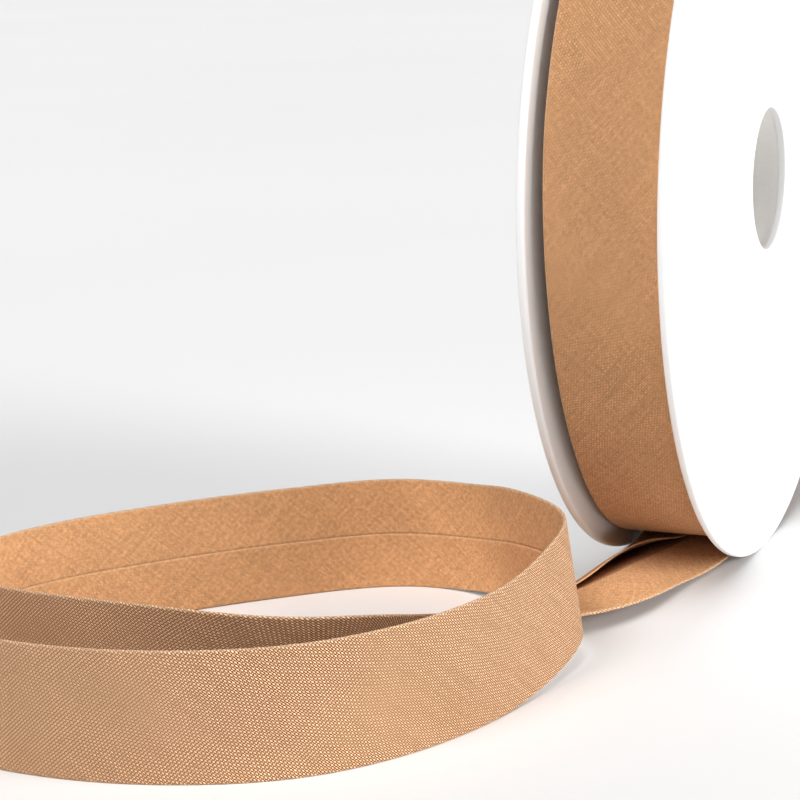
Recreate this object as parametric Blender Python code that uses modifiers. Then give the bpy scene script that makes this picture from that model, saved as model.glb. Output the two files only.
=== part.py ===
"""A roll of folded bias binding on a plain two-flange reel.

The reel stands on its rims with its axis level. The last half metre of tape has been pulled off
under the reel: it leaves flat, passes under its own standing loop, twists up on edge and lies in
a clockwise spiral beside the reel, ending in a plain cut.

Everything is modelled in the reel's frame, in which the outer face of the near flange lies in
the plane X = 0, the reel's axis runs along X and the floor is Z = 0. One empty then moves all of
it, so that the origin is the middle of the bottom of the whole object's bounding box.
"""
import math
from typing import NamedTuple

import bmesh
import bpy
import numpy as np
from mathutils import Matrix, Vector

MM = 0.001

# Tape: a standard folded binding, both raw edges turned in to meet on the middle line.
TAPE_WIDTH = 20.0 * MM
LOOSE_THICKNESS = 1.0 * MM
WOUND_WIDTH = 19.8 * MM
WOUND_RADIUS = 66.8 * MM
WOUND_EDGE_ROUND = 0.4 * MM

# Reel: two moulded discs on a short tube, with a flat spot where the rims stand.
FLANGE_RADIUS = 70.0 * MM
FLANGE_THICKNESS = 1.6 * MM
FLANGE_RIM_ROUND = 0.6 * MM
HOLE_RADIUS = 13.0 * MM
REEL_WIDTH = 25.2 * MM
CORE_INNER_RADIUS = 13.5 * MM
CORE_WALL = 2.0 * MM
FLAT_SPOT_DEPTH = 0.12 * MM
SEAT_GAP = 0.3 * MM
AXLE_HEIGHT = FLANGE_RADIUS - FLAT_SPOT_DEPTH

# Facets round the turned pieces, along a rounded corner, and along and across the loose tape.
FLANGE_STEPS = 96
WOUND_STEPS = 120
CORE_STEPS = 48
CORNER_STEPS = 3
LOOSE_STEP = 3.6 * MM
LOOSE_CELLS_ACROSS = 6
CROWN_POWER = 1.3

TAPE_COLOUR = (0.52, 0.30, 0.16, 1.0)
REEL_COLOUR = (0.93, 0.93, 0.92, 1.0)
TUBE_COLOUR = (0.80, 0.76, 0.71, 1.0)


class Station(NamedTuple):
    """One section of the loose tape, in millimetres and degrees.

    x, y   plan place of the edge that ends up on the floor
    lift   clear height of that edge above the floor
    lean   0 lies flat with the folded side up, 90 stands on that edge, past 90 the foot is kicked out
    crown  how far the middle line stands proud, because the tape hinges along its open fold
    """

    x: float
    y: float
    lift: float
    lean: float
    crown: float


LOOSE_ROUTE = (
    # Off the underside of the winding and out between the rims.
    Station(x=-22.1, y=7.0, lift=2.05, lean=0, crown=0.0),
    Station(x=-22.1, y=0.0, lift=1.65, lean=0, crown=0.1),
    Station(x=-22.7, y=-10.0, lift=0.9, lean=0, crown=1.0),
    Station(x=-24.4, y=-22.0, lift=0.1, lean=1, crown=2.6),
    # Arched over its middle line, one edge on the floor, then under the standing loop.
    Station(x=-25.8, y=-32.0, lift=0.1, lean=3, crown=3.2),
    Station(x=-26.6, y=-42.0, lift=0.1, lean=6, crown=3.4),
    Station(x=-28.2, y=-49.0, lift=0.1, lean=9, crown=2.9),
    Station(x=-31.8, y=-55.0, lift=0.1, lean=11, crown=1.6),
    Station(x=-37.4, y=-63.0, lift=0.1, lean=14, crown=1.0),
    # Twisting up on edge inside the loop.
    Station(x=-42.2, y=-74.0, lift=0.1, lean=20, crown=0.8),
    Station(x=-44.8, y=-85.0, lift=0.1, lean=28, crown=0.6),
    Station(x=-46.4, y=-104.0, lift=0.0, lean=45, crown=0.0),
    Station(x=-48.0, y=-112.6, lift=0.0, lean=57, crown=0.0),
    Station(x=-53.4, y=-120.6, lift=0.0, lean=70, crown=0.0),
    Station(x=-63.0, y=-126.6, lift=0.0, lean=84, crown=0.0),
    # Inner run, then the turn at the far left.
    Station(x=-76.0, y=-128.4, lift=0.0, lean=90, crown=0.0),
    Station(x=-89.0, y=-127.2, lift=0.0, lean=90, crown=0.0),
    Station(x=-100.0, y=-122.8, lift=0.0, lean=90, crown=0.0),
    Station(x=-106.0, y=-113.4, lift=0.0, lean=90, crown=0.0),
    Station(x=-105.0, y=-101.8, lift=0.0, lean=90, crown=0.0),
    # Back wall, which climbs over the strip that passes under it.
    Station(x=-91.5, y=-79.0, lift=0.0, lean=90, crown=0.0),
    Station(x=-70.8, y=-57.5, lift=0.0, lean=90, crown=0.0),
    Station(x=-50.0, y=-46.2, lift=0.0, lean=90, crown=0.0),
    Station(x=-41.0, y=-48.4, lift=1.0, lean=91, crown=0.0),
    Station(x=-33.0, y=-54.0, lift=3.1, lean=93, crown=0.0),
    Station(x=-25.0, y=-61.6, lift=5.3, lean=96, crown=0.0),
    Station(x=-16.8, y=-68.6, lift=6.0, lean=98, crown=0.0),
    # Right-hand turn, with its foot kicked out, coming down on the floor again.
    Station(x=-12.0, y=-76.8, lift=5.0, lean=98, crown=0.0),
    Station(x=-11.8, y=-85.0, lift=2.8, lean=97, crown=0.0),
    Station(x=-13.4, y=-94.6, lift=0.8, lean=94, crown=0.0),
    Station(x=-16.0, y=-105.6, lift=0.0, lean=92, crown=0.0),
    # Front run to the cut end.
    Station(x=-22.8, y=-124.6, lift=0.0, lean=90, crown=0.0),
    Station(x=-34.0, y=-138.6, lift=0.0, lean=90, crown=0.0),
    Station(x=-47.0, y=-146.0, lift=0.0, lean=90, crown=0.0),
    Station(x=-66.0, y=-150.2, lift=0.0, lean=90, crown=0.0),
    Station(x=-88.0, y=-148.0, lift=0.0, lean=90, crown=0.0),
    Station(x=-110.0, y=-140.4, lift=0.0, lean=90, crown=0.0),
)


def clear_scene():
    """Remove every object that the file opened with."""
    for existing in list(bpy.data.objects):
        bpy.data.objects.remove(existing, do_unlink=True)


def new_collection(name):
    """Return a new collection under the scene's own."""
    collection = bpy.data.collections.new(name)
    bpy.context.scene.collection.children.link(collection)
    return collection


def principled(name, colour, roughness):
    """Return a plain Principled material."""
    material = bpy.data.materials.new(name)
    material.use_nodes = True
    shader = material.node_tree.nodes["Principled BSDF"]
    shader.inputs["Base Color"].default_value = colour
    shader.inputs["Roughness"].default_value = roughness
    shader.inputs["Metallic"].default_value = 0.0
    return material


def place(mesh, name, collection, material, parent):
    """Link a mesh as a named object of the collection, under the common parent."""
    piece = bpy.data.objects.new(name, mesh)
    piece.data.materials.append(material)
    piece.parent = parent
    collection.objects.link(piece)
    return piece


def rounded_corner(centre_radius, centre_along, radius, start_turn):
    """Return the points of a quarter arc, as (radius, along) pairs, running clockwise."""
    points = []
    for step in range(CORNER_STEPS + 1):
        angle = start_turn - 0.5 * math.pi * step / CORNER_STEPS
        points.append((centre_radius + radius * math.cos(angle), centre_along + radius * math.sin(angle)))
    return points


def ring_profile(inner_radius, outer_radius, length, outer_round):
    """Return the closed section of a ring, centred along its axis, outer corners rounded.

    The section runs out along its top, down its outer side and back along its bottom.
    """
    half = 0.5 * length
    arc_radius = outer_radius - outer_round
    arc_along = half - outer_round
    profile = [(inner_radius, half)]
    if outer_round > 0.0:
        profile += rounded_corner(arc_radius, arc_along, outer_round, 0.5 * math.pi)
        profile += rounded_corner(arc_radius, -arc_along, outer_round, 0.0)
    else:
        profile += [(outer_radius, half), (outer_radius, -half)]
    profile.append((inner_radius, -half))
    return profile


def turned_ring(name, profile, steps, middle_x, collection, material, parent):
    """Turn a closed section about the reel's axis and return the object."""
    mesh = bpy.data.meshes.new(name)
    section = bmesh.new()
    corners = [section.verts.new((radius, 0.0, along)) for radius, along in profile]
    for first, second in zip(corners, corners[1:] + corners[:1]):
        section.edges.new((first, second))
    section.to_mesh(mesh)
    section.free()

    ring = place(mesh, name, collection, material, parent)
    ring.location = (middle_x, 0.0, AXLE_HEIGHT)
    ring.rotation_euler = (0.0, 0.5 * math.pi, 0.0)
    turn = ring.modifiers.new("turn", "SCREW")
    turn.axis = "Z"
    turn.angle = 2.0 * math.pi
    turn.steps = steps
    turn.render_steps = steps
    turn.use_merge_vertices = True
    turn.merge_threshold = 0.00001
    turn.use_smooth_shade = False
    return ring


def floor_cutter(collection, parent):
    """Return the block under the floor that shaves the rims' flat spots."""
    width, depth, height = 2.0 * REEL_WIDTH, 1.5 * FLANGE_RADIUS, 0.2 * FLANGE_RADIUS
    mesh = bpy.data.meshes.new("floor_cutter")
    block = bmesh.new()
    bmesh.ops.create_cube(block, size=1.0, matrix=Matrix.Diagonal((width, depth, height, 1.0)))
    block.to_mesh(mesh)
    block.free()
    cutter = bpy.data.objects.new("floor_cutter", mesh)
    cutter.parent = parent
    cutter.location = (-0.5 * REEL_WIDTH, 0.0, -0.5 * height)
    cutter.display_type = "WIRE"
    cutter.hide_render = True
    collection.objects.link(cutter)
    return cutter


def shave(piece, cutter):
    """Cut the piece with the cutter."""
    cut = piece.modifiers.new("flat_spot", "BOOLEAN")
    cut.operation = "DIFFERENCE"
    cut.solver = "EXACT"
    cut.object = cutter


def build_reel(collection, cutters, parent):
    """Build both flanges, the tube between them and the winding."""
    plastic = principled("reel_plastic", REEL_COLOUR, 0.45)
    card = principled("core_card", TUBE_COLOUR, 0.85)
    cloth = principled("wound_cloth", TAPE_COLOUR, 0.9)

    cutter = floor_cutter(cutters, parent)
    disc = ring_profile(HOLE_RADIUS, FLANGE_RADIUS, FLANGE_THICKNESS, FLANGE_RIM_ROUND)
    near_x = -0.5 * FLANGE_THICKNESS
    far_x = -REEL_WIDTH + 0.5 * FLANGE_THICKNESS
    for name, middle_x in (("near_flange", near_x), ("far_flange", far_x)):
        shave(turned_ring(name, disc, FLANGE_STEPS, middle_x, collection, plastic, parent), cutter)

    core_outer = CORE_INNER_RADIUS + CORE_WALL
    core_length = REEL_WIDTH - 2.0 * (FLANGE_THICKNESS + SEAT_GAP)
    tube = ring_profile(CORE_INNER_RADIUS, core_outer, core_length, 0.0)
    turned_ring("core_tube", tube, CORE_STEPS, -0.5 * REEL_WIDTH, collection, card, parent)

    wound_x = -FLANGE_THICKNESS - SEAT_GAP - 0.5 * WOUND_WIDTH
    winding = ring_profile(core_outer + SEAT_GAP, WOUND_RADIUS, WOUND_WIDTH, WOUND_EDGE_ROUND)
    turned_ring("wound_tape", winding, WOUND_STEPS, wound_x, collection, cloth, parent)


def natural_spline(knots, values, samples):
    """Return the natural cubic through values at knots, read at the sample places."""
    count = len(knots)
    gaps = np.diff(knots)
    system = np.eye(count)
    targets = np.zeros((count, values.shape[1]))
    for row in range(1, count - 1):
        before, after = gaps[row - 1], gaps[row]
        system[row, row - 1:row + 2] = before, 2.0 * (before + after), after
        rise = (values[row + 1] - values[row]) / after
        run = (values[row] - values[row - 1]) / before
        targets[row] = 6.0 * (rise - run)
    bends = np.linalg.solve(system, targets)

    span = np.clip(np.searchsorted(knots, samples, side="right") - 1, 0, count - 2)
    width = gaps[span][:, None]
    past = (samples - knots[span])[:, None]
    left = width - past
    cubic = (bends[span] * left ** 3 + bends[span + 1] * past ** 3) / (6.0 * width)
    start = (values[span] / width - bends[span] * width / 6.0) * left
    end = (values[span + 1] / width - bends[span + 1] * width / 6.0) * past
    return cubic + start + end


def loose_sections():
    """Return, for each section of the loose tape, its row of points from foot edge to top edge."""
    table = np.array(LOOSE_ROUTE, dtype=float)
    plan_steps = np.linalg.norm(np.diff(table[:, :2], axis=0), axis=1)
    knots = np.concatenate([[0.0], np.cumsum(plan_steps)])
    count = int(round(knots[-1] * MM / LOOSE_STEP)) + 1
    places = np.linspace(0.0, knots[-1], count)
    x, y, lift, lean, crown = natural_spline(knots, table, places).T

    heading = np.gradient(np.stack([x, y], axis=1), places, axis=0)
    heading /= np.linalg.norm(heading, axis=1)[:, None]
    lean = np.radians(lean)
    lift = np.clip(lift, 0.0, None) * MM
    crown = np.clip(crown, 0.0, None) * MM
    half_width = 0.5 * TAPE_WIDTH

    rows = []
    for index in range(count):
        left = Vector((-heading[index, 1], heading[index, 0], 0.0))
        up = Vector((0.0, 0.0, 1.0))
        across = left * math.cos(lean[index]) + up * math.sin(lean[index])
        proud = up * math.cos(lean[index]) - left * math.sin(lean[index])
        middle_height = lift[index] + 0.5 * LOOSE_THICKNESS * abs(math.cos(lean[index]))
        foot = Vector((x[index] * MM, y[index] * MM, middle_height))
        chord = 2.0 * math.sqrt(half_width ** 2 - crown[index] ** 2)
        row = []
        for cell in range(LOOSE_CELLS_ACROSS + 1):
            share = cell / LOOSE_CELLS_ACROSS
            off_middle = abs(2.0 * share - 1.0)
            bulge = crown[index] * (1.0 - off_middle ** CROWN_POWER)
            row.append(foot + across * (chord * share) + proud * bulge)
        rows.append(row)
    return rows


def build_loose_tape(collection, parent):
    """Build the pulled-off end: a sheet lofted through its sections, then thickened."""
    sheet = bmesh.new()
    grid = [[sheet.verts.new(point) for point in row] for row in loose_sections()]
    for row, after in zip(grid, grid[1:]):
        for cell in range(LOOSE_CELLS_ACROSS):
            sheet.faces.new((row[cell], after[cell], after[cell + 1], row[cell + 1]))
    mesh = bpy.data.meshes.new("loose_tape")
    sheet.to_mesh(mesh)
    sheet.free()

    cloth = principled("loose_cloth", TAPE_COLOUR, 0.9)
    tape = place(mesh, "loose_tape", collection, cloth, parent)
    thick = tape.modifiers.new("thickness", "SOLIDIFY")
    thick.thickness = LOOSE_THICKNESS
    thick.offset = 0.0
    thick.use_even_offset = True
    thick.use_rim = True


def world_bounds(collection):
    """Return the lowest and highest corners of the collection's evaluated meshes."""
    depsgraph = bpy.context.evaluated_depsgraph_get()
    corners = []
    for piece in collection.objects:
        evaluated = piece.evaluated_get(depsgraph)
        mesh = evaluated.to_mesh()
        corners += [evaluated.matrix_world @ vertex.co for vertex in mesh.vertices]
        evaluated.to_mesh_clear()
    low = Vector([min(corner[axis] for corner in corners) for axis in range(3)])
    high = Vector([max(corner[axis] for corner in corners) for axis in range(3)])
    return low, high


def main():
    """Build the roll and move its origin to the middle of its base."""
    clear_scene()
    parts = new_collection("bias_binding_roll")
    cutters = new_collection("cutters")
    base = bpy.data.objects.new("base_origin", None)
    bpy.context.scene.collection.objects.link(base)

    build_reel(parts, cutters, base)
    build_loose_tape(parts, base)

    bpy.context.view_layer.update()
    low, high = world_bounds(parts)
    base.location = (-0.5 * (low.x + high.x), -0.5 * (low.y + high.y), -low.z)
    bpy.context.view_layer.update()


main()
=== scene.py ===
"""A roll of folded bias binding on a white reel, with its loose end laid in a spiral beside it.

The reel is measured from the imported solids. Its own frame has the outer face of the near flange
in the plane X = 0, the reel's axis along X and the floor at Z = 0.
"""
import logging
import math
from dataclasses import dataclass
from enum import Enum
from typing import Callable, NamedTuple, Sequence, Union

import bmesh
import bpy
import numpy as np
from mathutils import Matrix, Vector, noise


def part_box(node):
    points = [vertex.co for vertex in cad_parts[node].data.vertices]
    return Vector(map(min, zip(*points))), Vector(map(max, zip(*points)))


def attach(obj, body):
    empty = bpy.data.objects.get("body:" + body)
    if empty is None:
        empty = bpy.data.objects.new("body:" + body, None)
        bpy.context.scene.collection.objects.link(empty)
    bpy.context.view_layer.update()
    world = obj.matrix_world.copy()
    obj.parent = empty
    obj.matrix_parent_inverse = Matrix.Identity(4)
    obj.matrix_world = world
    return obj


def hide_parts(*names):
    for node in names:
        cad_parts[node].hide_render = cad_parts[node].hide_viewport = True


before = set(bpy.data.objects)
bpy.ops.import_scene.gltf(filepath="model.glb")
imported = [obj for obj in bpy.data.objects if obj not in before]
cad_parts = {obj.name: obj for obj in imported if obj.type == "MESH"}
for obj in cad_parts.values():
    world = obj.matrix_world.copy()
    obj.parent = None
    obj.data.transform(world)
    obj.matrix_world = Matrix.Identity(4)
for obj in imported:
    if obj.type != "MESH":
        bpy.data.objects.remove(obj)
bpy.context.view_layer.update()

Socket = bpy.types.NodeSocket
Value = Union[Socket, float, Sequence[float]]
Pair = tuple[float, float]
Triple = tuple[float, float, float]
Colour = tuple[float, float, float, float]

MM = 0.001
SAME = 0.005 * MM
TOUCHING = 0.0001 * MM
SHARP = math.radians(50.0)
BODY = "root"
UV_LAYER = "cloth"

log = logging.getLogger("bias_binding")


class Slot(Enum):
    """The record's material slots."""

    TAPE = "tape"
    REEL = "reel"
    CORE = "core"


class Side(Enum):
    """Which of the reel's two flanges, by the solid that it stands for."""

    NEAR = "near_flange"
    FAR = "far_flange"


class Station(NamedTuple):
    """One section of the loose tape, in millimetres and degrees, in the reel's own frame.

    x, y   plan place of the edge that ends up on the floor
    lift   clear height of that edge above the floor
    lean   0 lies flat with the folded side up, 90 stands on that edge, past 90 the foot is kicked out
    crown  how far the middle line stands proud, because the tape hinges along its open fold
    agape  how far the flap of the foot edge has sprung open about its fold
    """

    x: float
    y: float
    lift: float
    lean: float
    crown: float
    agape: float = 0.0


class Pose(NamedTuple):
    """Where one section of tape lies: its foot, its two directions and its shape."""

    along: float
    foot: Vector
    across: Vector
    proud: Vector
    crown: float = 0.0
    agape: float = 0.0


class Cloud(NamedTuple):
    """The settings of a Noise texture."""

    scale: float = 1.0
    detail: float = 2.0
    roughness: float = 0.5


class Ramp(NamedTuple):
    """A smooth step from one value to another, and what it gives at each end."""

    low: float
    high: float
    at_low: float = 0.0
    at_high: float = 1.0


@dataclass(frozen=True)
class Reel:
    """The reel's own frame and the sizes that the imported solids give, in metres."""

    origin: Vector
    flange_radius: float
    flange_thickness: float
    width: float
    axle_height: float

    @classmethod
    def from_solids(cls) -> "Reel":
        """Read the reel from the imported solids.

        Returns:
            The reel, whose origin is on the floor below the near flange's outer face.
        """
        near_low, near_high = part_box(Side.NEAR.value)
        far_low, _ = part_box(Side.FAR.value)
        radius = 0.5 * (near_high.y - near_low.y)
        origin = Vector((near_high.x, 0.5 * (near_low.y + near_high.y), near_low.z))
        return cls(
            origin=origin,
            flange_radius=radius,
            flange_thickness=near_high.x - near_low.x,
            width=near_high.x - far_low.x,
            axle_height=near_high.z - radius - origin.z,
        )

    def place(self, x: float, y: float, z: float) -> Vector:
        """Return a point of the reel's own frame in the row frame."""
        return self.origin + Vector((x, y, z))

    def axle_at(self, x: float) -> Vector:
        """Return the point of the axis at x in the reel's own frame."""
        return self.place(x, 0.0, self.axle_height)


class Graph:
    """A material's node tree, built up by short calls that return sockets."""

    def __init__(self, name: str) -> None:
        """Start a material that holds one Principled shader.

        Args:
            name: the material's name.
        """
        self.material = bpy.data.materials.new(name)
        self.material.use_nodes = True
        self.nodes = self.material.node_tree.nodes
        self.links = self.material.node_tree.links
        self.shader = self.nodes["Principled BSDF"]

    def feed(self, socket: Socket, value: Value) -> None:
        """Link a socket to an input, or write a constant there.

        Args:
            socket: the input.
            value: a socket, a number or a tuple.
        """
        if isinstance(value, bpy.types.NodeSocket):
            self.links.new(value, socket)
        else:
            socket.default_value = value

    def dress(self, inputs: dict[str, Value]) -> None:
        """Feed the shader's inputs.

        Args:
            inputs: a value for each input's name.
        """
        for name, value in inputs.items():
            self.feed(self.shader.inputs[name], value)

    def math(self, operation: str, *values: Value) -> Socket:
        """Work out a number.

        Args:
            operation: the Math node's operation.
            values: what it works on.

        Returns:
            The result's socket.
        """
        node = self.nodes.new("ShaderNodeMath")
        node.operation = operation
        for socket, value in zip(node.inputs, values):
            self.feed(socket, value)
        return node.outputs[0]

    def mix(self, share: Value, first: Value, second: Value) -> Socket:
        """Find a number between two others.

        Args:
            share: 0 gives first and 1 gives second.
            first: a number.
            second: a number.

        Returns:
            The number's socket.
        """
        node = self.nodes.new("ShaderNodeMix")
        self.feed(node.inputs[0], share)
        self.feed(node.inputs[2], first)
        self.feed(node.inputs[3], second)
        return node.outputs[0]

    def blend(self, share: Value, first: Value, second: Value, mode: str = "MIX") -> Socket:
        """Find the colour between two others.

        Args:
            share: 0 gives first and 1 the blend of both.
            first: a colour or a colour socket.
            second: a colour or a colour socket.
            mode: the blend mode.

        Returns:
            The colour socket.
        """
        node = self.nodes.new("ShaderNodeMix")
        node.data_type = "RGBA"
        node.blend_type = mode
        self.feed(node.inputs[0], share)
        self.feed(node.inputs[6], first)
        self.feed(node.inputs[7], second)
        return node.outputs[2]

    def remap(self, value: Value, ramp: Ramp) -> Socket:
        """Take a number through a ramp, clamped at both ends.

        Args:
            value: the number.
            ramp: the smooth step.

        Returns:
            The new number's socket.
        """
        node = self.nodes.new("ShaderNodeMapRange")
        node.interpolation_type = "SMOOTHSTEP"
        for socket, number in zip(node.inputs, (value, *ramp)):
            self.feed(socket, number)
        return node.outputs[0]

    def coordinates(
        self, kind: str, scale: Triple = (1.0, 1.0, 1.0), turn: float = 0.0
    ) -> Socket:
        """Find texture coordinates, turned about Z and scaled.

        Args:
            kind: an output of the Texture Coordinate node.
            scale: the scale along each axis, applied after the turn.
            turn: the angle in radians.

        Returns:
            The vector socket.
        """
        source = self.nodes.new("ShaderNodeTexCoord").outputs[kind]
        turned = self.nodes.new("ShaderNodeMapping")
        turned.inputs["Rotation"].default_value = (0.0, 0.0, turn)
        self.feed(turned.inputs["Vector"], source)
        return self.stretch(turned.outputs[0], scale)

    def stretch(self, vector: Socket, scale: Triple) -> Socket:
        """Scale a vector.

        Args:
            vector: the vector.
            scale: the factor along each axis.

        Returns:
            The scaled vector's socket.
        """
        node = self.nodes.new("ShaderNodeVectorMath")
        node.operation = "MULTIPLY"
        self.feed(node.inputs[0], vector)
        self.feed(node.inputs[1], scale)
        return node.outputs[0]

    def dot(self, vector: Socket, weights: Triple) -> Socket:
        """Add up a vector's parts, each times its weight.

        Args:
            vector: the vector.
            weights: the weight of each part.

        Returns:
            The sum's socket.
        """
        node = self.nodes.new("ShaderNodeVectorMath")
        node.operation = "DOT_PRODUCT"
        self.feed(node.inputs[0], vector)
        self.feed(node.inputs[1], weights)
        return node.outputs["Value"]

    def part(self, vector: Socket, axis: int) -> Socket:
        """Take one part of a vector.

        Args:
            vector: the vector.
            axis: 0 for X, 1 for Y and 2 for Z.

        Returns:
            The part's socket.
        """
        node = self.nodes.new("ShaderNodeSeparateXYZ")
        self.feed(node.inputs[0], vector)
        return node.outputs[axis]

    def join(self, x: Value, y: Value, z: Value = 0.0) -> Socket:
        """Make a vector from its parts.

        Args:
            x: the first part.
            y: the second part.
            z: the third part.

        Returns:
            The vector's socket.
        """
        node = self.nodes.new("ShaderNodeCombineXYZ")
        for socket, value in zip(node.inputs, (x, y, z)):
            self.feed(socket, value)
        return node.outputs[0]

    def cloud(self, vector: Socket, cloud: Cloud) -> Socket:
        """Read a Noise texture, which is about 0.5 in the middle.

        Args:
            vector: where it is read.
            cloud: its settings.

        Returns:
            The factor's socket.
        """
        node = self.nodes.new("ShaderNodeTexNoise")
        self.feed(node.inputs["Vector"], vector)
        node.inputs["Scale"].default_value = cloud.scale
        node.inputs["Detail"].default_value = cloud.detail
        node.inputs["Roughness"].default_value = cloud.roughness
        return node.outputs[0]

    def bump(self, height: Socket, distance: float, strength: float = 1.0) -> None:
        """Drive the shader's normal by a height.

        Args:
            height: a socket from 0 to 1.
            distance: what a height of 1 stands for, in metres.
            strength: how much of it is felt.
        """
        node = self.nodes.new("ShaderNodeBump")
        node.inputs["Strength"].default_value = strength
        node.inputs["Distance"].default_value = distance
        self.feed(node.inputs["Height"], height)
        self.feed(self.shader.inputs["Normal"], node.outputs[0])


@dataclass(frozen=True)
class BiasCotton:
    """Plain-woven cotton cut on the bias, with finer threads one way than the other.

    It reads the cloth's own flat sizes from the UV map, in metres: U along the tape and V across
    the cut cloth, so the folds lie a quarter and three quarters of the way across. Each wave is
    the number of threads that are crossed in a metre along U and along V. The pairs under crest,
    fine_dip and coarse_dip hold where the warp is on top and where the weft is.
    """

    name: str = "bias_cotton"
    cut_width: float = 40.0 * MM
    warp_wave: Triple = (2200.0, -2480.0, 0.0)
    weft_wave: Triple = (1450.0, 1600.0, 0.0)
    drift: Cloud = Cloud(70.0, 2.0)
    warp_drift: float = 3.0
    weft_drift: float = -2.0

    # Painted shade: the weave's colour runs from dark pits up to light thread crests, by the threads'
    # height.
    thread: Colour = (0.96, 0.615, 0.365, 1.0)
    pit_shade: Colour = (0.105, 0.020, 0.004, 1.0)
    even: Colour = (0.650, 0.346, 0.161, 1.0)
    fluff: Colour = (0.84, 0.64, 0.45, 1.0)
    woven: Ramp = Ramp(0.20, 0.92)
    matt: Ramp = Ramp(0.0, 1.0, 0.96, 0.80)
    specular: float = 0.15
    sheen: float = 0.06
    sheen_roughness: float = 0.40
    sheen_tint: Colour = (1.0, 0.90, 0.78, 1.0)

    crest: Pair = (1.46, 0.94)
    fine_dip: Pair = (1.50, 1.35)
    coarse_dip: Pair = (0.78, 1.12)
    relief: float = 0.06 * MM
    fleck_relief: float = 0.6

    run_shortening: float = 0.035
    runs: Cloud = Cloud(0.83, 3.0, 0.6)
    run_tone: Ramp = Ramp(0.25, 0.75, 0.84, 1.16)
    broad: Cloud = Cloud(0.021, 3.0, 0.6)
    broad_tone: Ramp = Ramp(0.25, 0.75, 0.94, 1.06)
    grain: Cloud = Cloud(0.55, 3.0, 0.7)
    grain_tone: Ramp = Ramp(0.25, 0.75, 0.80, 1.20)
    slub: Ramp = Ramp(0.70, 0.80)
    fibres: Cloud = Cloud(0.9, 4.0, 0.7)
    fibre: Ramp = Ramp(0.66, 0.80, 0.0, 0.6)
    fleck_share: float = 0.36

    crispness: float = 1.0
    pressed_crispness: float = 0.13
    flap_start: Pair = (0.246, 0.262)
    crisp_tone: Ramp = Ramp(0.8, 1.1, 0.75, 1.0)
    # Painted highlight along the folds and the raw edges: where it reaches, as shares of the cut
    # width, and how strong it is.
    fold_highlight_reach: Pair = (0.002, 0.010)
    fold_highlight: float = 0.25
    raw_edge_highlight_reach: Pair = (0.488, 0.497)
    raw_edge_highlight: float = 0.10

    @classmethod
    def taut_shaded(cls) -> "BiasCotton":
        """Return the same cotton drawn tight over the reel, where its threads show less, with a
        darker colour that paints the winding's shade.
        """
        # Painted shade: the winding's cotton is a darker copy of the loose tape's.
        return cls(name="taut_shaded_cotton", crispness=0.30, even=(0.535, 0.274, 0.123, 1.0))

    def make(self) -> bpy.types.Material:
        """Make the material.

        Returns:
            The finish for folded tape.
        """
        graph = Graph(self.name)
        flat = graph.coordinates("UV")
        drift = graph.math("SUBTRACT", graph.cloud(flat, self.drift), 0.5)
        warp = graph.math("MULTIPLY_ADD", drift, self.warp_drift, graph.dot(flat, self.warp_wave))
        weft = graph.math("MULTIPLY_ADD", drift, self.weft_drift, graph.dot(flat, self.weft_wave))

        height, over = self.weave(graph, warp, weft)
        tone, fleck = self.yarn(graph, warp, weft, over)
        crisp = self.crisp(graph, flat, tone)
        # Painted shade in the pits between the threads and lighter thread crests, blended by height.
        woven = graph.blend(graph.remap(height, self.woven), self.pit_shade, self.thread)
        colour = graph.blend(crisp, self.even, woven)
        colour = graph.blend(1.0, colour, graph.join(tone, tone, tone), "MULTIPLY")
        colour = graph.blend(fleck, colour, self.fluff)
        # Painted highlight on the folds and the raw edges, in the fluff colour.
        colour = graph.blend(self.edge_highlight(graph, flat), colour, self.fluff)

        graph.dress({
            "Base Color": colour,
            "Roughness": graph.remap(height, self.matt),
            "Specular IOR Level": self.specular,
            "Sheen Weight": self.sheen,
            "Sheen Roughness": self.sheen_roughness,
            "Sheen Tint": self.sheen_tint,
        })
        swell = graph.math("MULTIPLY_ADD", fleck, self.fleck_relief, height)
        graph.bump(graph.math("MULTIPLY", swell, crisp), self.relief)
        return graph.material

    def weave(self, graph: Graph, warp: Socket, weft: Socket) -> tuple[Socket, Socket]:
        """Raise the threads, one over the other in turn.

        Args:
            graph: the material's tree.
            warp: the place across the warp threads, one unit a thread.
            weft: the place across the weft threads, one unit a thread.

        Returns:
            The height, from 0 in a pit to 1 on a thread, and 0 where the warp is on top.
        """
        rounds = []
        for place in (warp, weft):
            off = graph.math("MULTIPLY_ADD", graph.math("FRACT", place), 2.0, -1.0)
            rounds.append(graph.math("MULTIPLY", off, off))
        count = graph.math("ADD", graph.math("FLOOR", warp), graph.math("FLOOR", weft))
        over = graph.math("PINGPONG", count, 1.0)
        fine = graph.math("MULTIPLY", rounds[0], graph.mix(over, *self.fine_dip))
        coarse = graph.math("MULTIPLY", rounds[1], graph.mix(over, *self.coarse_dip))
        dip = graph.math("ADD", fine, coarse)
        height = graph.math("SUBTRACT", graph.mix(over, *self.crest), dip)
        return graph.math("MAXIMUM", height, 0.0), over

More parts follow.
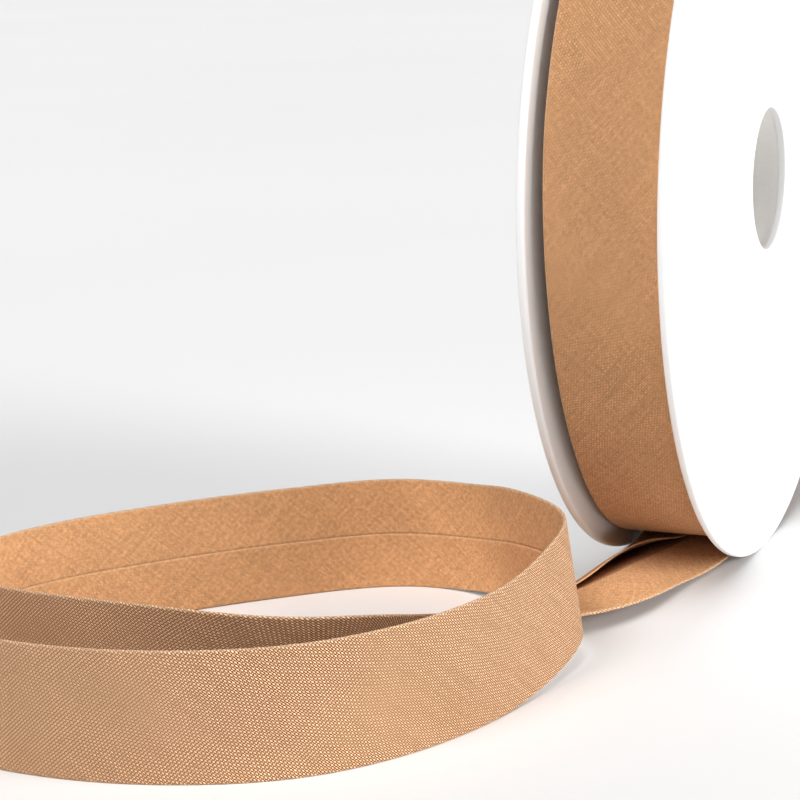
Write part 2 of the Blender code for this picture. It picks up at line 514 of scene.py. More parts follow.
    def yarn(
        self, graph: Graph, warp: Socket, weft: Socket, over: Socket
    ) -> tuple[Socket, Socket]:
        """Make the threads uneven, with slubs and loose fibres.

        Args:
            graph: the material's tree.
            warp: the place across the warp threads.
            weft: the place across the weft threads.
            over: which thread is on top.

        Returns:
            The tone and the flecks, as numbers.
        """
        runs = []
        for across, along in ((warp, weft), (weft, warp)):
            reach = graph.math("MULTIPLY", along, self.run_shortening)
            runs.append(graph.cloud(graph.join(graph.math("FLOOR", across), reach), self.runs))
        plane = graph.join(warp, weft)
        tone = graph.remap(graph.mix(over, runs[0], runs[1]), self.run_tone)
        for cloud, ramp in ((self.broad, self.broad_tone), (self.grain, self.grain_tone)):
            tone = graph.math("MULTIPLY", tone, graph.remap(graph.cloud(plane, cloud), ramp))
        slub = graph.math("MAXIMUM", *(graph.remap(run, self.slub) for run in runs))
        fibre = graph.remap(graph.cloud(plane, self.fibres), self.fibre)
        fleck = graph.math("MULTIPLY", graph.math("MAXIMUM", slub, fibre), self.fleck_share)
        return tone, fleck

    def crisp(self, graph: Graph, flat: Socket, tone: Socket) -> Socket:
        """Find how clearly the threads show: less on the flaps, which are pressed flat.

        Args:
            graph: the material's tree.
            flat: the cloth's flat coordinates.
            tone: the uneven tone, which varies it a little.

        Returns:
            The share as a number.
        """
        pressing = Ramp(*self.flap_start, self.crispness, self.pressed_crispness)
        share = graph.remap(self.off_middle(graph, flat), pressing)
        return graph.math("MULTIPLY", share, graph.remap(tone, self.crisp_tone))

    def off_middle(self, graph: Graph, flat: Socket) -> Socket:
        """Return the distance from the cloth's middle line, as a share of the cut width."""
        across = graph.math("DIVIDE", graph.part(flat, 1), self.cut_width)
        return graph.math("ABSOLUTE", graph.math("SUBTRACT", across, 0.5))

    def edge_highlight(self, graph: Graph, flat: Socket) -> Socket:
        """Find how much painted highlight a point gets because it lies on a fold or at a raw edge.

        Args:
            graph: the material's tree.
            flat: the cloth's flat coordinates.

        Returns:
            The share as a number.
        """
        off_middle = self.off_middle(graph, flat)
        off_fold = graph.math("ABSOLUTE", graph.math("SUBTRACT", off_middle, 0.25))
        folded = graph.remap(off_fold, Ramp(*self.fold_highlight_reach, self.fold_highlight, 0.0))
        raw = graph.remap(off_middle, Ramp(*self.raw_edge_highlight_reach, 0.0, self.raw_edge_highlight))
        return graph.math("MAXIMUM", folded, raw)


@dataclass(frozen=True)
class ReelPlastic:
    """White moulded plastic with a faint orange-peel skin."""

    name: str = "reel_plastic"
    white: Colour = (0.905, 0.903, 0.898, 1.0)
    greyed: Colour = (0.885, 0.882, 0.875, 1.0)
    clouds: Cloud = Cloud(45.0, 4.0, 0.6)
    greying: Ramp = Ramp(0.35, 0.85, 0.0, 0.35)
    scuffs: Cloud = Cloud(260.0, 3.0, 0.65)
    scuff_stretch: Triple = (1.0, 6.0, 1.0)
    scuffed: Ramp = Ramp(0.3, 0.8, 0.36, 0.52)
    skin: Cloud = Cloud(900.0, 2.0, 0.5)
    skin_depth: float = 0.02 * MM
    skin_strength: float = 0.6

    def make(self) -> bpy.types.Material:
        """Make the material.

        Returns:
            The finish for both flanges.
        """
        graph = Graph(self.name)
        place = graph.coordinates("Object")
        clouds = graph.cloud(place, self.clouds)
        scuffs = graph.cloud(graph.stretch(place, self.scuff_stretch), self.scuffs)
        graph.dress({
            "Base Color": graph.blend(graph.remap(clouds, self.greying), self.white, self.greyed),
            "Roughness": graph.remap(scuffs, self.scuffed),
        })
        graph.bump(graph.cloud(place, self.skin), self.skin_depth, self.skin_strength)
        return graph.material


@dataclass(frozen=True)
class TubeCard:
    """Pale grey card, wound on a slant, with its fibres showing."""

    name: str = "tube_card"
    pale: Colour = (0.93, 0.905, 0.875, 1.0)
    darker: Colour = (0.90, 0.870, 0.835, 1.0)
    roughness: float = 0.88
    fibre_stretch: Triple = (700.0, 2600.0, 2600.0)
    fibres: Cloud = Cloud(1.0, 4.0, 0.65)
    darkening: Ramp = Ramp(0.35, 0.75)
    ply_width: float = 12.0 * MM
    slant: float = math.radians(35.0)
    joint: Ramp = Ramp(0.0, 0.02)
    joint_share: float = 0.35
    fibre_share: float = 0.65
    relief: float = 0.02 * MM
    relief_strength: float = 0.8

    def make(self) -> bpy.types.Material:
        """Make the material.

        Returns:
            The finish for the tube.
        """
        graph = Graph(self.name)
        place = graph.coordinates("Object")
        fibres = graph.cloud(graph.stretch(place, self.fibre_stretch), self.fibres)
        graph.dress({
            "Base Color": graph.blend(graph.remap(fibres, self.darkening), self.pale, self.darker),
            "Roughness": self.roughness,
        })
        plies = graph.coordinates("UV", (1.0 / self.ply_width,) * 3, self.slant)
        off_joint = graph.math("SUBTRACT", graph.math("FRACT", graph.part(plies, 0)), 0.5)
        joint = graph.remap(graph.math("ABSOLUTE", off_joint), self.joint)
        fluff = graph.math("MULTIPLY", fibres, self.fibre_share)
        height = graph.math("MULTIPLY_ADD", joint, self.joint_share, fluff)
        graph.bump(height, self.relief, self.relief_strength)
        return graph.material


@dataclass(frozen=True)
class StudioFloor:
    """A plain matt sweep of near-white paper."""

    name: str = "studio_paper"
    white: Colour = (0.865, 0.866, 0.866, 1.0)
    dimmer: Colour = (0.853, 0.853, 0.853, 1.0)
    clouds: Cloud = Cloud(3.0, 3.0)
    dimming: Ramp = Ramp(0.3, 0.7)
    roughness: float = 0.9
    specular: float = 0.1

    def make(self) -> bpy.types.Material:
        """Make the material.

        Returns:
            The finish for the floor.
        """
        graph = Graph(self.name)
        clouds = graph.cloud(graph.coordinates("Object"), self.clouds)
        graph.dress({
            "Base Color": graph.blend(graph.remap(clouds, self.dimming), self.white, self.dimmer),
            "Roughness": self.roughness,
            "Specular IOR Level": self.specular,
        })
        return graph.material


def new_piece(
    shape: bmesh.types.BMesh, name: str, material: bpy.types.Material
) -> bpy.types.Object:
    """Turn a finished bmesh into a smooth-shaded object at the origin and free the bmesh.

    Args:
        shape: the mesh, in the row frame.
        name: the piece's name.
        material: its finish.

    Returns:
        The linked object.
    """
    mesh = bpy.data.meshes.new(name)
    shape.to_mesh(mesh)
    shape.free()
    mesh.shade_smooth()
    mesh.materials.append(material)
    piece = bpy.data.objects.new(name, mesh)
    bpy.context.scene.collection.objects.link(piece)
    return piece


def hand_over(piece: bpy.types.Object, slot: Slot, *nodes: str) -> bpy.types.Object:
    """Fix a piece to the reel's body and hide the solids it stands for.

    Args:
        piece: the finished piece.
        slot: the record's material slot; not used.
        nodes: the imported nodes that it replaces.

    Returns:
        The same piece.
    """
    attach(piece, BODY)
    if nodes:
        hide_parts(*nodes)
    return piece


def spun_ring(
    axle: Vector, inner: float, outer: float, thickness: float, steps: int
) -> bmesh.types.BMesh:
    """Spin a rectangle about an axis along X.

    Args:
        axle: the middle of the ring.
        inner: its inner radius.
        outer: its outer radius.
        thickness: its length along X.
        steps: how many facets go round.

    Returns:
        The closed ring.
    """
    ring = bmesh.new()
    half = 0.5 * thickness
    section = [(-half, inner), (-half, outer), (half, outer), (half, inner)]
    corners = [ring.verts.new(axle + Vector((x, 0.0, radius))) for x, radius in section]
    edges = [ring.edges.new((a, b)) for a, b in zip(corners, corners[1:] + corners[:1])]
    bmesh.ops.spin(
        ring, geom=corners + edges, cent=axle, axis=(1.0, 0.0, 0.0), angle=math.tau,
        steps=steps, use_merge=True, use_normal_flip=False, use_duplicate=False,
    )
    bmesh.ops.remove_doubles(ring, verts=ring.verts, dist=SAME)
    bmesh.ops.recalc_face_normals(ring, faces=ring.faces)
    return ring


def hoops(
    ring: bmesh.types.BMesh, axle: Vector, low: float = 0.0, high: float = math.inf
) -> list[bmesh.types.BMEdge]:
    """Find the edges that run round a ring, with both ends between two radii.

    Args:
        ring: the ring.
        axle: a point of its axis, which is along X.
        low: the smaller radius.
        high: the larger radius.

    Returns:
        The edges.
    """
    found = []
    for edge in ring.edges:
        a, b = edge.verts
        reach = [math.hypot(v.co.y - axle.y, v.co.z - axle.z) for v in (a, b)]
        level = abs(a.co.x - b.co.x) < SAME and abs(reach[0] - reach[1]) < SAME
        if level and low < min(reach) and max(reach) < high:
            found.append(edge)
    return found


def round_over(
    ring: bmesh.types.BMesh, edges: list[bmesh.types.BMEdge], radius: float, segments: int
) -> None:
    """Bevel edges to a round.

    Args:
        ring: the ring that they belong to.
        edges: the edges.
        radius: the radius of the round.
        segments: how many facets it has.
    """
    bmesh.ops.bevel(
        ring, geom=edges, offset=radius, offset_type="OFFSET", affect="EDGES",
        segments=segments, profile=0.5, material=-1,
    )


@dataclass
class Flange:
    """One moulded disc of the reel, with a rounded rim and the flat spot that it stands on."""

    reel: Reel
    side: Side
    finish: bpy.types.Material
    hole_radius: float = 13.0 * MM
    rim_round: float = 0.6 * MM
    rim_segments: int = 5
    hole_round: float = 0.35 * MM
    hole_segments: int = 4
    steps: int = 288

    @property
    def axle(self) -> Vector:
        """The middle of the disc."""
        inset = 0.5 * self.reel.flange_thickness
        return self.reel.axle_at(-inset if self.side is Side.NEAR else inset - self.reel.width)

    def build(self) -> bpy.types.Object:
        """Build the disc.

        Returns:
            The piece that stands for this flange's solid.
        """
        reel, axle = self.reel, self.axle
        disc = spun_ring(
            axle, self.hole_radius, reel.flange_radius, reel.flange_thickness, self.steps
        )
        middle = 0.5 * (self.hole_radius + reel.flange_radius)
        round_over(disc, hoops(disc, axle, low=middle), self.rim_round, self.rim_segments)
        round_over(disc, hoops(disc, axle, high=middle), self.hole_round, self.hole_segments)
        self.shave(disc)
        piece = new_piece(disc, f"{self.side.value}_disc", self.finish)
        piece.data.set_sharp_from_angle(angle=SHARP)
        return hand_over(piece, Slot.REEL, self.side.value)

    def shave(self, disc: bmesh.types.BMesh) -> None:
        """Cut the rim flat where it stands on the floor.

        Args:
            disc: the round disc.
        """
        everything = list(disc.verts) + list(disc.edges) + list(disc.faces)
        cut = bmesh.ops.bisect_plane(
            disc, geom=everything, dist=TOUCHING, plane_co=self.reel.origin,
            plane_no=(0.0, 0.0, -1.0), clear_outer=True,
        )
        rim = [item for item in cut["geom_cut"] if isinstance(item, bmesh.types.BMEdge)]
        bmesh.ops.holes_fill(disc, edges=rim)
        bmesh.ops.recalc_face_normals(disc, faces=disc.faces)


@dataclass
class CoreTube:
    """The card tube between the flanges."""

    reel: Reel
    finish: bpy.types.Material
    inner_radius: float = 13.5 * MM
    wall: float = 2.0 * MM
    seating: float = 0.27 * MM
    end_round: float = 0.1 * MM
    end_segments: int = 3
    steps: int = 144

    def build(self) -> bpy.types.Object:
        """Build the tube.

        Returns:
            The piece that stands for the tube's solid.
        """
        low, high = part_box("core_tube")
        axle = self.reel.axle_at(0.5 * (low.x + high.x) - self.reel.origin.x)
        outer = self.inner_radius + self.wall
        length = high.x - low.x + 2.0 * self.seating
        tube = spun_ring(axle, self.inner_radius, outer, length, self.steps)
        round_over(tube, hoops(tube, axle), self.end_round, self.end_segments)
        self.unroll(tube, axle)
        piece = new_piece(tube, "card_tube", self.finish)
        piece.data.set_sharp_from_angle(angle=SHARP)
        return hand_over(piece, Slot.CORE, "core_tube")

    def unroll(self, tube: bmesh.types.BMesh, axle: Vector) -> None:
        """Give the tube a UV map in metres, along it and round it.

        Args:
            tube: the finished tube.
            axle: its middle.
        """
        layer = tube.loops.layers.uv.new(UV_LAYER)
        for face in tube.faces:
            middle = face.calc_center_median() - axle
            turn = math.atan2(middle.y, middle.z)
            for loop in face.loops:
                off = loop.vert.co - axle
                angle = math.atan2(off.y, off.z)
                angle += math.tau * round((turn - angle) / math.tau)
                loop[layer].uv = (off.x, angle * self.inner_radius)


@dataclass(frozen=True)
class FoldedSection:
    """The section of the folded binding: one wide layer with both raw edges turned in over it.

    Sizes are in metres. A point of it is (across, proud): across from the foot edge to the top
    edge, and proud towards the folded side.
    """

    width: float = 20.0 * MM
    cloth: float = 0.22 * MM
    fold_radius: float = 0.17 * MM
    slit: float = 0.01 * MM
    crown_power: float = 1.25
    raw_gape: float = 0.014 * MM
    crown_gape: float = 0.14
    waver_wave: float = 60.0
    second_edge: float = 3.0

    @property
    def cut_width(self) -> float:
        """Width of the cloth before it was folded."""
        return 2.0 * self.width

    @property
    def thickness(self) -> float:
        """Thickness of the folded tape."""
        return 2.0 * self.fold_radius + self.cloth

    def stops(self) -> list[float]:
        """List the places across the cut cloth where the section needs points.

        Returns:
            The places, from 0 to 1.
        """
        flap = [0.0, 0.012, 0.05, 0.10, 0.16, 0.215]
        fold = [0.2385, 0.2445, 0.25, 0.2555, 0.2615]
        layer = [0.285] + [0.32 + 0.03 * step for step in range(6)]
        half = flap + fold + layer
        return half + [0.5] + [1.0 - share for share in reversed(half)]

    def laid(self, pose: Pose, share: float) -> Pair:
        """Find where a place across the cut cloth lies at a pose, with wavering raw edges.

        Args:
            pose: the pose.
            share: the place across the cut cloth, from 0 to 1.

        Returns:
            The (across, proud) pair.
        """
        edge = self.second_edge if share > 0.5 else 0.0
        waver = noise.noise(Vector((pose.along * self.waver_wave, edge, 0.0)))
        gape = self.raw_gape * (1.0 + waver) + self.crown_gape * pose.crown
        return self.point(share, pose.crown, gape, pose.agape)

    def point(self, share: float, crown: float, gape: float, agape: float) -> Pair:
        """Find where a place across the cut cloth lies in the folded section.

        Args:
            share: the place across the cut cloth, from 0 to 1.
            crown: how far the middle line stands proud.
            gape: how much further than usual each raw edge stands off the middle line.
            agape: the angle in radians that the foot edge's flap has sprung open by.

        Returns:
            The (across, proud) pair.
        """
        mirrored = share > 0.5
        run = (1.0 - share if mirrored else share) * self.cut_width
        inset = self.fold_radius + 0.5 * self.cloth
        arc = math.pi * self.fold_radius
        quarter = 0.25 * self.cut_width
        past_fold = run - (quarter - 0.5 * arc)
        if past_fold <= 0.0:
            free = self.width * 0.5 - 0.5 * self.slit - gape
            reach = -past_fold * (free - inset) / (quarter - 0.5 * arc)
            opened = 0.0 if mirrored else agape
            across = inset + reach * math.cos(opened)
            away = self.fold_radius + reach * math.sin(opened)
        elif past_fold < arc:
            angle = past_fold / self.fold_radius
            across = inset - self.fold_radius * math.sin(angle)
            away = self.fold_radius * math.cos(angle)
        else:
            room = 0.5 * self.width - inset
            across = inset + (past_fold - arc) * room / (quarter - 0.5 * arc)
            away = -self.fold_radius
        if mirrored:
            across = self.width - across
        return self.arched(across, away, crown)

    def arched(self, across: float, away: float, crown: float) -> Pair:
        """Bend a flat section over its middle line.

        Args:
            across: the place across the tape.
            away: the distance from its middle surface, towards the folded side.
            crown: how far the middle line stands proud.

        Returns:
            The bent (across, proud) pair.
        """
        half = 0.5 * self.width
        chord = 2.0 * math.sqrt(half * half - crown * crown)
        share = across / self.width
        off = 2.0 * share - 1.0
        bulge = crown * (1.0 - abs(off) ** self.crown_power)
        slope = 2.0 * crown * self.crown_power * abs(off) ** (self.crown_power - 1.0) / chord
        slope = math.copysign(slope, -off)
        steep = math.hypot(1.0, slope)
        return chord * share - away * slope / steep, bulge + away / steep


def natural_spline(knots: np.ndarray, values: np.ndarray, samples: np.ndarray) -> np.ndarray:
    """Read a natural cubic through values.

    Args:
        knots: where the values stand.
        values: one row for each knot.
        samples: where to read it.

    Returns:
        One row for each sample.
    """
    count = len(knots)
    gaps = np.diff(knots)
    system = np.eye(count)
    targets = np.zeros((count, values.shape[1]))
    for row in range(1, count - 1):
        before, after = gaps[row - 1], gaps[row]
        system[row, row - 1:row + 2] = before, 2.0 * (before + after), after
        rise = (values[row + 1] - values[row]) / after
        run = (values[row] - values[row - 1]) / before
        targets[row] = 6.0 * (rise - run)
    bends = np.linalg.solve(system, targets)

    span = np.clip(np.searchsorted(knots, samples, side="right") - 1, 0, count - 2)
    width = gaps[span][:, None]
    past = (samples - knots[span])[:, None]
    left = width - past
    cubic = (bends[span] * left ** 3 + bends[span + 1] * past ** 3) / (6.0 * width)
    start = (values[span] / width - bends[span] * width / 6.0) * left
    end = (values[span + 1] / width - bends[span + 1] * width / 6.0) * past
    return cubic + start + end


def ruled_strip(
    poses: Sequence[Pose], flat_places: Sequence[float], point: Callable[[Pose, int], Pair]
) -> bmesh.types.BMesh:
    """Lay a grid along poses, with a row for each pose and a column for each place across.

    Args:
        poses: where each row lies, in order along the tape.
        flat_places: each column's place across the flat cloth, in metres.
        point: gives the (across, proud) pair of a column at a pose.

    Returns:
        The open strip, with its UV map in metres.
    """
    rows, columns = len(poses) - 1, len(flat_places) - 1
    strip = bmesh.new()
    bmesh.ops.create_grid(strip, x_segments=rows, y_segments=columns, size=0.5)

    def spot(vertex: bmesh.types.BMVert) -> tuple[int, int]:
        """Return a vertex's row and column in the flat grid."""
        return round((vertex.co.x + 0.5) * rows), round((vertex.co.y + 0.5) * columns)

    layer = strip.loops.layers.uv.new(UV_LAYER)
    for face in strip.faces:
        for loop in face.loops:
            row, column = spot(loop.vert)
            loop[layer].uv = (poses[row].along, flat_places[column])
    for vertex in strip.verts:
        row, column = spot(vertex)
        pose = poses[row]
        across, proud = point(pose, column)
        vertex.co = pose.foot + pose.across * across + pose.proud * proud
    return strip


def laid_cloth(
    section: FoldedSection, poses: Sequence[Pose], name: str, finish: bpy.types.Material
) -> bpy.types.Object:
    """Fold a flat strip of cloth to its section and lay it along its poses.

    Args:
        section: the folded section.
        poses: where each section lies, in order along the tape.
        name: the piece's name.
        finish: its material.

    Returns:
        The piece, thickened by a modifier.
    """
    stops = section.stops()
    flat_places = [share * section.cut_width for share in stops]
    strip = ruled_strip(poses, flat_places, lambda pose, column: section.laid(pose, stops[column]))
    bmesh.ops.recalc_face_normals(strip, faces=strip.faces)
    piece = new_piece(strip, name, finish)
    thick = piece.modifiers.new("cloth", "SOLIDIFY")
    thick.thickness = section.cloth
    thick.offset = 0.0
    thick.use_even_offset = True
    thick.use_rim = True
    return piece


@dataclass
class Winding:
    """The tape on the reel: a true spiral from the tube to the underside, where it leaves.

    The angle is 0 at the bottom of the winding and grows as the tape is followed back from there,
    up the far side, over the top and down the side that faces the viewer. The rows of far_edge
    are degrees and the far edge's place along the axis in millimetres.
    """

    reel: Reel
    section: FoldedSection
    finish: bpy.types.Material
    leaving_radius: float = 67.15 * MM
    inner_radius: float = 15.9 * MM
    turn_pitch: float = 0.59 * MM
    fullness: float = 0.42
    inner_steps: int = 60
    outer_steps: int = 288
    outer_turns: float = 1.06
    near_x: float = -1.9 * MM
    leaving_x: float = -22.1 * MM
    settling_turns: float = 0.4
    stray: float = 0.08 * MM
    stray_wave: float = 5.0
    stray_start: float = 7.3
    far_edge: tuple[Pair, ...] = (
        (0, -22.1), (90, -21.95), (180, -21.8), (240, -21.85), (258, -21.85),
        (270, -21.6), (282, -21.35), (294, -21.25), (310, -21.3), (320, -21.5),
        (330, -21.85), (350, -21.9), (384, -21.6),
    )

    def pose_at(self, angle: float) -> Pose:
        """Find where the tape's section lies at an angle back from the bottom.

        Args:
            angle: the angle in radians.

        Returns:
            The section's pose, with its middle surface on the spiral.
        """
        turns = angle / math.tau
        radius = self.leaving_radius - 0.5 * self.section.thickness - self.turn_pitch * turns
        inward = Vector((0.0, -math.sin(angle), math.cos(angle)))
        degrees, edges = zip(*self.far_edge)
        x = float(np.interp(math.degrees(angle), degrees, edges)) * MM
        wobble = noise.noise(Vector((self.stray_start, turns * self.stray_wave, 0.0)))
        x += self.stray * min(1.0, abs(turns)) * wobble
        settled = min(1.0, max(0.0, turns / self.settling_turns))
        near = self.leaving_x + self.section.width
        near += (self.near_x - near) * settled
        run = -math.tau * turns * (radius + 0.5 * self.turn_pitch * turns)
        foot = self.reel.axle_at(x) - inward * radius
        return Pose(run, foot, Vector(((near - x) / self.section.width, 0.0, 0.0)), inward)

    def build(self) -> list[bpy.types.Object]:
        """Build the covered turns and the outermost one.

        Returns:
            Both pieces.
        """
        covered = self.build_covered_turns()
        count = round(self.outer_turns * self.outer_steps)
        angles = [math.tau * self.outer_turns * (1.0 - step / count) for step in range(count + 1)]
        poses = [self.pose_at(angle) for angle in angles]
        outer = laid_cloth(self.section, poses, "outer_turn", self.finish)
        hand_over(outer, Slot.TAPE)
        return [covered, outer]

    def outline(self) -> list[Pair]:
        """Draw the rounded outline of one covered turn.

        Returns:
            The (across, proud) pairs, with the first one again at the end.
        """
        width, half = self.section.width, self.fullness * self.turn_pitch
        ring = [
            (half, -half), (0.0, 0.0), (half, half), (0.5 * width, half),
            (width - half, half), (width, 0.0), (width - half, -half), (0.5 * width, -half),
        ]
        return ring + ring[:1]

    def build_covered_turns(self) -> bpy.types.Object:
        """Build every turn below the outermost one as a rounded strip.

        Returns:
            The piece that stands for the winding's solid.
        """
        first = self.outer_turns
        turns = (self.leaving_radius - self.inner_radius) / self.turn_pitch - first
        count = round(turns * self.inner_steps)
        poses = [
            self.pose_at(math.tau * (first + turns * step / count)) for step in range(count + 1)
        ]
        ring = self.outline()
        flat_places = [0.5 * self.section.width + across + proud for across, proud in ring]
        strip = ruled_strip(poses, flat_places, lambda pose, column: ring[column])
        bmesh.ops.remove_doubles(strip, verts=strip.verts, dist=TOUCHING)
        bmesh.ops.holes_fill(strip, edges=strip.edges)
        bmesh.ops.recalc_face_normals(strip, faces=strip.faces)
        piece = new_piece(strip, "covered_turns", self.finish)
        return hand_over(piece, Slot.TAPE, "wound_tape")


LOOSE_ROUTE = (
    # Arched over its middle line, one edge on the floor, then under the standing loop.
    Station(x=-22.7, y=-10.0, lift=1.5, lean=0, crown=1.0, agape=3),
    Station(x=-24.4, y=-22.0, lift=0.2, lean=1, crown=2.6, agape=15),
    Station(x=-25.8, y=-32.0, lift=0.0, lean=3, crown=3.2, agape=15),
    Station(x=-26.6, y=-42.0, lift=0.0, lean=6, crown=3.4, agape=11),
    Station(x=-28.2, y=-49.0, lift=0.0, lean=9, crown=2.9, agape=5),
    Station(x=-31.8, y=-55.0, lift=0.0, lean=11, crown=1.6, agape=1),
    Station(x=-37.4, y=-63.0, lift=0.0, lean=14, crown=1.0),
    # Twisting up on edge inside the loop.
    Station(x=-42.2, y=-74.0, lift=0.0, lean=20, crown=0.8),
    Station(x=-44.8, y=-85.0, lift=0.0, lean=28, crown=0.6),
    Station(x=-46.4, y=-104.0, lift=0.0, lean=45, crown=0.0),
    Station(x=-48.0, y=-112.6, lift=0.0, lean=57, crown=0.0),
    Station(x=-53.4, y=-120.6, lift=0.0, lean=70, crown=0.0),
    Station(x=-63.0, y=-126.6, lift=0.0, lean=84, crown=0.0),
    # Inner run, then the turn at the far left.
    Station(x=-76.0, y=-128.4, lift=0.0, lean=90, crown=0.0),
    Station(x=-89.0, y=-127.2, lift=0.0, lean=90, crown=0.0),
    Station(x=-100.0, y=-122.8, lift=0.0, lean=90, crown=0.0),
    Station(x=-106.0, y=-113.4, lift=0.0, lean=90, crown=0.0),
    Station(x=-105.0, y=-101.8, lift=0.0, lean=90, crown=0.0),
    # Back wall, which climbs over the strip that passes under it.
    Station(x=-91.5, y=-79.0, lift=0.0, lean=90, crown=0.0),
    Station(x=-70.8, y=-57.5, lift=0.0, lean=90, crown=0.0),
    Station(x=-50.0, y=-46.2, lift=0.0, lean=90, crown=0.0),
    Station(x=-41.0, y=-48.4, lift=0.8, lean=93, crown=0.0),
    Station(x=-33.0, y=-54.0, lift=2.5, lean=96, crown=0.0),
    Station(x=-25.0, y=-61.6, lift=4.4, lean=99, crown=0.0),
    Station(x=-17.0, y=-68.6, lift=4.9, lean=100, crown=0.0),
    # Right-hand turn, with its foot kicked out, coming down on the floor again.
    Station(x=-12.2, y=-76.8, lift=4.0, lean=97.5, crown=0.0),
    Station(x=-11.9, y=-85.0, lift=2.4, lean=96.5, crown=0.0),
    Station(x=-13.3, y=-94.6, lift=0.8, lean=94.5, crown=0.0),
    Station(x=-15.5, y=-105.6, lift=0.0, lean=92, crown=0.0),
    # Front run to the cut end.
    Station(x=-22.8, y=-124.6, lift=0.0, lean=90, crown=0.0),
    Station(x=-34.0, y=-138.6, lift=0.0, lean=90, crown=0.0),
    Station(x=-47.0, y=-146.0, lift=0.0, lean=90, crown=0.0),
    Station(x=-66.0, y=-150.2, lift=0.0, lean=90, crown=0.0),
    Station(x=-88.0, y=-148.0, lift=0.0, lean=90, crown=0.0),
    Station(x=-110.0, y=-140.4, lift=0.0, lean=90, crown=0.0),
)


@dataclass
class LooseEnd:
    """The half metre of tape that has been pulled off under the reel.

    It starts on the winding at the lead angles, in degrees, and then follows its route.
    """

    reel: Reel
    section: FoldedSection
    winding: Winding
    finish: bpy.types.Material
    route: tuple[Station, ...] = LOOSE_ROUTE
    lead_angles: Pair = (0.0, -2.5)
    step: float = 1.2 * MM

    def lead(self) -> list[Station]:
        """Work out the first stations, which still lie on the winding.

        Returns:
            Stations whose lift is the height of the tape's middle surface.
        """
        stations = []
        for degrees in self.lead_angles:
            pose = self.winding.pose_at(math.radians(degrees))
            foot = (pose.foot - self.reel.origin) / MM
            stations.append(Station(foot.x, foot.y, foot.z, lean=0.0, crown=0.0))
        return stations

    def bedding(self, lean: np.ndarray) -> np.ndarray:
        """Return how high the middle surface of resting tape lies, in millimetres, by its lean."""
        return 0.5 * self.section.thickness / MM * np.abs(np.cos(np.radians(lean)))

    def poses(self) -> list[Pose]:
        """Draw a smooth curve through the stations.

        Returns:
            The sections of the loose tape, from the winding to the cut end.
        """
        table = np.array(self.route, dtype=float)
        table[:, 2] += self.bedding(table[:, 3])
        table = np.vstack([np.array(self.lead()), table])
        hops = np.linalg.norm(np.diff(table[:, :2], axis=0), axis=1)
        knots = np.concatenate([[0.0], np.cumsum(hops)])
        count = round(knots[-1] * MM / self.step) + 1
        places = np.linspace(0.0, knots[-1], count)
        x, y, height, lean, crown, agape = natural_spline(knots, table, places).T
        heading = np.gradient(np.stack([x, y], axis=1), places, axis=0)
        heading /= np.linalg.norm(heading, axis=1)[:, None]
        height = np.maximum(height, self.bedding(lean))

        up = Vector((0.0, 0.0, 1.0))
        along = self.winding.pose_at(0.0).along
        found: list[Pose] = []
        for index in range(count):
            left = Vector((-heading[index, 1], heading[index, 0], 0.0))
            turn = math.radians(lean[index])
            foot = self.reel.place(x[index] * MM, y[index] * MM, height[index] * MM)
            if found:
                along += (foot - found[-1].foot).length
            found.append(Pose(
                along,
                foot,
                across=left * math.cos(turn) + up * math.sin(turn),
                proud=up * math.cos(turn) - left * math.sin(turn),
                crown=max(0.0, crown[index]) * MM,
                agape=math.radians(max(0.0, agape[index])),
            ))
        return found

    def build(self) -> bpy.types.Object:
        """Build the loose end.

        Returns:
            The piece that stands for the loose tape's solid.
        """
        poses = self.poses()
        piece = laid_cloth(self.section, poses, "loose_end", self.finish)
        return hand_over(piece, Slot.TAPE, "loose_tape")


@dataclass
class PhotoCamera:
    """A long lens a little above the floor, looking along the loose tape at the reel.

    Its place is in the reel's own frame. The lens and the sensor are in millimetres.
    """

    reel: Reel
    x: float = 100.16 * MM
    y: float = -423.04 * MM
    height: float = 123.05 * MM
    azimuth: float = math.radians(22.4879)
    pitch_down: float = math.radians(12.2645)
    roll: float = math.radians(-1.3936)
    lens: float = 105.05
    sensor: float = 36.0
    nearest: float = 0.01
    farthest: float = 50.0

    def build(self) -> None:
        """Place the camera and make it the scene's own."""
        data = bpy.data.cameras.new("photo_camera")
        data.sensor_width = self.sensor
        data.sensor_fit = "HORIZONTAL"
        data.lens = self.lens
        data.clip_start = self.nearest
        data.clip_end = self.farthest
        camera = bpy.data.objects.new("photo_camera", data)
        bpy.context.scene.collection.objects.link(camera)
        turn = Matrix.Rotation(self.azimuth, 4, "Z")
        turn @= Matrix.Rotation(0.5 * math.pi - self.pitch_down, 4, "X")
        turn @= Matrix.Rotation(self.roll, 4, "Z")
        place = self.reel.place(self.x, self.y, self.height)
        camera.matrix_world = Matrix.Translation(place) @ turn
        bpy.context.scene.camera = camera


class Lamp(NamedTuple):
    """One far-off softbox, by the direction it shines from and how wide it looks, in degrees."""

    name: str
    azimuth: float
    elevation: float
    spread: float
    strength: float


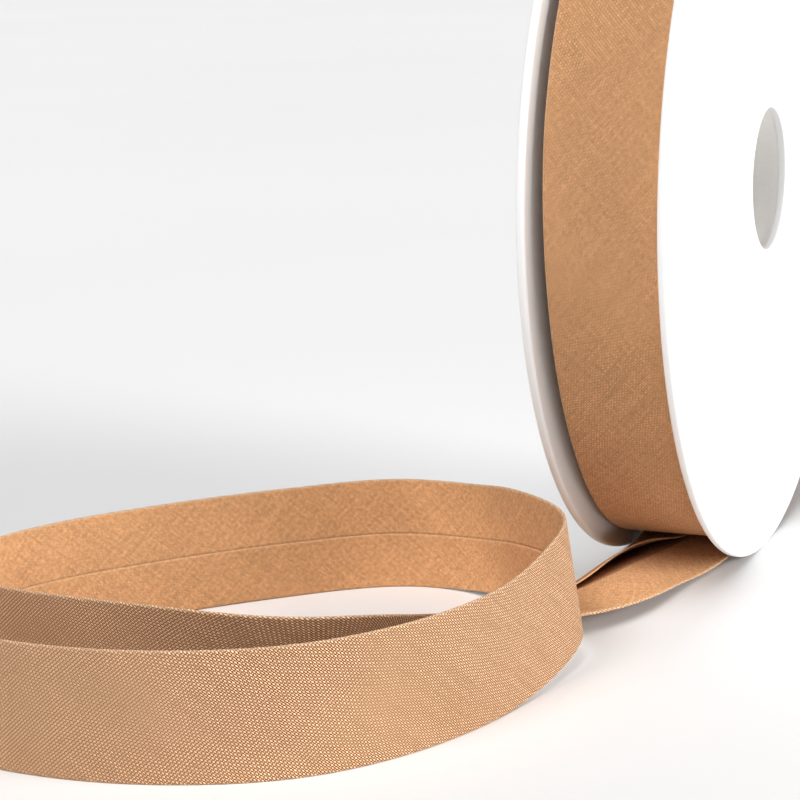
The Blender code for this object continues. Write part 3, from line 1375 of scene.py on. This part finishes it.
@dataclass
class Studio:
    """A pale floor under a faint sky, lit by one strong low lamp and three weaker high ones."""

    finish: bpy.types.Material
    sky: Colour = (1.0, 1.0, 1.0, 1.0)
    sky_strength: float = 0.08
    floor_reach: float = 6.0
    lamps: tuple[Lamp, ...] = (
        Lamp("right_low", azimuth=6.0, elevation=12.0, spread=36.0, strength=1.15),
        Lamp("front_high", azimuth=270.0, elevation=60.0, spread=40.0, strength=0.30),
        Lamp("front_left_high", azimuth=255.0, elevation=55.0, spread=44.0, strength=0.38),
        Lamp("front_left_wall", azimuth=258.0, elevation=35.0, spread=54.0, strength=0.29),
    )

    def build(self) -> bpy.types.Object:
        """Build the floor, the sky and the lamps.

        Returns:
            The floor.
        """
        plate = bmesh.new()
        bmesh.ops.create_grid(plate, x_segments=1, y_segments=1, size=self.floor_reach)
        floor = new_piece(plate, "studio_floor", self.finish)

        world = bpy.data.worlds.new("studio_sky")
        world.use_nodes = True
        backdrop = world.node_tree.nodes["Background"]
        backdrop.inputs["Color"].default_value = self.sky
        backdrop.inputs["Strength"].default_value = self.sky_strength
        bpy.context.scene.world = world
        bpy.context.scene.view_settings.view_transform = "Standard"
        for lamp in self.lamps:
            self.hang(lamp)
        return floor

    def hang(self, lamp: Lamp) -> None:
        """Add one lamp.

        Args:
            lamp: its direction, width and strength.
        """
        data = bpy.data.lights.new(lamp.name, "SUN")
        data.angle = math.radians(lamp.spread)
        data.energy = math.pi * lamp.strength
        azimuth, elevation = math.radians(lamp.azimuth), math.radians(lamp.elevation)
        source = Vector((
            math.cos(azimuth) * math.cos(elevation),
            math.sin(azimuth) * math.cos(elevation),
            math.sin(elevation),
        ))
        light = bpy.data.objects.new(lamp.name, data)
        bpy.context.scene.collection.objects.link(light)
        light.rotation_euler = source.to_track_quat("Z", "Y").to_euler()


def main() -> None:
    """Build the camera, the reel, the tape and the studio, and log how many faces each piece has."""
    logging.basicConfig(level=logging.INFO, format="%(name)s: %(message)s")
    reel = Reel.from_solids()
    PhotoCamera(reel).build()

    plastic = ReelPlastic().make()
    cotton = BiasCotton().make()
    taut_shaded = BiasCotton.taut_shaded().make()
    pieces = [Flange(reel, side, plastic).build() for side in Side]
    pieces.append(CoreTube(reel, TubeCard().make()).build())

    section = FoldedSection()
    winding = Winding(reel, section, taut_shaded)
    pieces.extend(winding.build())
    pieces.append(LooseEnd(reel, section, winding, cotton).build())
    pieces.append(Studio(StudioFloor().make()).build())
    for piece in pieces:
        log.info("%s: %d faces", piece.name, len(piece.data.polygons))


if __name__ == "__main__":
    main()
